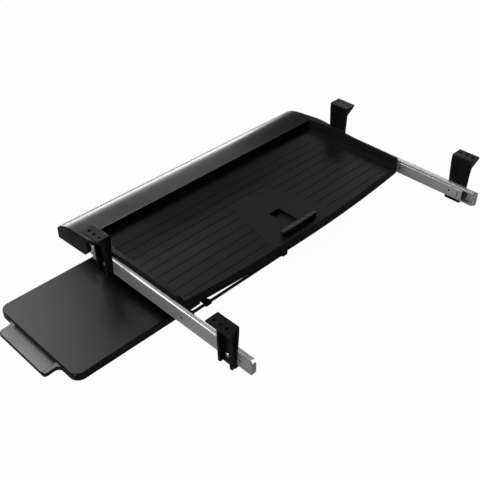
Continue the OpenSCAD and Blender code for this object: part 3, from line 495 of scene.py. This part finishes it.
softNodes = {
    "trayPlastic": {"round": 0.0006, "slot": "tray_plastic", "nodes": ["tray", "stop_slider", "track_cover"]},
    "bracketPlastic": {
        "round": 0.0005, "slot": "bracket_plastic", "nodes": corners("bracket") + corners("rod_hanger")},
    "platformPlastic": {"round": 0.0004, "slot": "platform_plastic", "nodes": ["platform"]},
    "glidePlastic": {"round": 0.0003, "slot": "glide_plastic", "nodes": corners("glide")},
    "blackRubber": {"round": 0.0004, "slot": "black_rubber", "nodes": ["stop_bar", "closing_buffers"]},
    "zincSteel": {
        "round": 0.0002, "slot": "zinc_steel",
        "nodes": ["outer_rail_right", "outer_rail_left", "inner_rail_right", "inner_rail_left"]},
}
plainNodes = {
    "cageSteel": ["ball_cage_right", "ball_cage_left"],
    "ballSteel": ["balls_right", "balls_left"],
    "screwSteel": [
        "bracket_screws", "rail_screws", "hanger_screws", "track_screws", "glide_screws", "stop_screws"],
    "blackRod": ["guide_rod_front", "guide_rod_rear"],
}
for finish, group in softNodes.items():
    for name in group["nodes"]:
        piece = softenedCopy(name, {**softLook, "round": group["round"], **reshaped.get(name, {})})
        dress(piece, finish)
        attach(piece, nodes[name]["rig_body"])
        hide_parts(name)
        print(name, "softened:", len(piece.data.polygons), "faces")
for finish, names in plainNodes.items():
    for name in names:
        dress(nodes[name], finish)
print("nodes dressed")


# Studio

studio = {
    "floorGap": 0.0004,
    "floorSize": 24.0,
    "floorGrey": 0.6,
    "floorRough": 0.9,
    "floorSpecular": 0.1,
    "shadowShare": 0.03,
    "glossyShare": 0.8,
    "glossyFloor": 0.11,
    "worldGrey": 0.09,
    "glossyGrey": 0.08,
    "lamps": {
        "keyBox": {
            "place": (0.12, -1.75, 1.55), "aim": (0.1, -0.1, -0.06), "size": (1.4, 1.0), "watts": 12.0},
        "edgeBox": {
            "place": (0.5, -1.5, 1.85), "aim": (0.27, -0.1, -0.05), "size": (1.2, 0.9), "watts": 18.0},
        "frontStrip": {
            "place": (-0.6, -2.6, 0.22), "aim": (0.0, -0.25, -0.05), "size": (2.6, 0.48), "watts": 60.0},
        "sideBox": {
            "place": (-2.4, -1.3, 1.2), "aim": (-0.1, 0.0, -0.06), "size": (0.8, 0.8), "watts": 3.5},
        "rightFill": {
            "place": (2.4, 0.3, 0.3), "aim": (0.28, 0.0, -0.06), "size": (1.4, 0.6), "watts": 10.0},
        "overhead": {
            "place": (0.2, 0.5, 2.4), "aim": (0.1, 0.0, -0.06), "size": (1.6, 1.6), "watts": 5.0},
    },
}


# A pale floor that is plain white to the camera but for its shadow, and dim in mirrored light
def layFloor(look):
    bm = bmesh.new()
    bmesh.ops.create_grid(bm, x_segments=1, y_segments=1, size=look["floorSize"] / 2)
    bmesh.ops.translate(bm, verts=bm.verts, vec=(0, 0, cadBox[0].z - look["floorGap"]))
    mesh = bpy.data.meshes.new("floor")
    bm.to_mesh(mesh)
    bm.free()
    floor = bpy.data.objects.new("floor", mesh)
    bpy.context.scene.collection.objects.link(floor)
    material, tree, shader = newMaterial("paleFloor")
    shader.inputs["Base Color"].default_value = grey(look["floorGrey"])
    shader.inputs["Roughness"].default_value = look["floorRough"]
    shader.inputs["Specular IOR Level"].default_value = look["floorSpecular"]
    light = addNode(tree, "ShaderNodeLightPath")
    glow = addNode(tree, "ShaderNodeEmission")
    dimmed = mathNode(tree, "MULTIPLY", light.outputs["Is Glossy Ray"], look["glossyFloor"] - 1)
    tree.links.new(mathNode(tree, "ADD", dimmed, 1), glow.inputs["Strength"])
    seen = mathNode(tree, "MULTIPLY", light.outputs["Is Camera Ray"], 1 - look["shadowShare"])
    mirrored = mathNode(tree, "MULTIPLY", light.outputs["Is Glossy Ray"], look["glossyShare"])
    blend = addNode(tree, "ShaderNodeMixShader")
    tree.links.new(mathNode(tree, "ADD", seen, mirrored), blend.inputs["Fac"])
    tree.links.new(shader.outputs["BSDF"], blend.inputs[1])
    tree.links.new(glow.outputs["Emission"], blend.inputs[2])
    tree.links.new(blend.outputs["Shader"], tree.nodes["Material Output"].inputs["Surface"])
    mesh.materials.append(material)


# White to the camera, a dim grey to everything else
def lightWorld(look):
    world = bpy.data.worlds.new("studio")
    bpy.context.scene.world = world
    world.use_nodes = True
    tree = world.node_tree
    back = tree.nodes["Background"]
    back.inputs["Color"].default_value = grey(1.0)
    light = addNode(tree, "ShaderNodeLightPath")
    change = look["glossyGrey"] - look["worldGrey"]
    glossy = mathNode(tree, "MULTIPLY", light.outputs["Is Glossy Ray"], change)
    seen = mathNode(tree, "MULTIPLY", light.outputs["Is Camera Ray"], 1 - look["worldGrey"])
    level = mathNode(tree, "ADD", mathNode(tree, "ADD", glossy, seen), look["worldGrey"])
    tree.links.new(level, back.inputs["Strength"])


def hangLamp(name, look):
    lamp = bpy.data.lights.new(name, "AREA")
    lamp.shape = "RECTANGLE"
    lamp.size, lamp.size_y = look["size"]
    lamp.energy = look["watts"]
    holder = bpy.data.objects.new(name, lamp)
    bpy.context.scene.collection.objects.link(holder)
    holder.location = look["place"]
    aim = Vector(look["aim"]) - Vector(look["place"])
    holder.rotation_mode = "QUATERNION"
    holder.rotation_quaternion = aim.to_track_quat("-Z", "Y")


layFloor(studio)
lightWorld(studio)
for lampName, lampLook in studio["lamps"].items():
    hangLamp(lampName, lampLook)
bpy.context.scene.view_settings.view_transform = "Standard"
print("studio set")
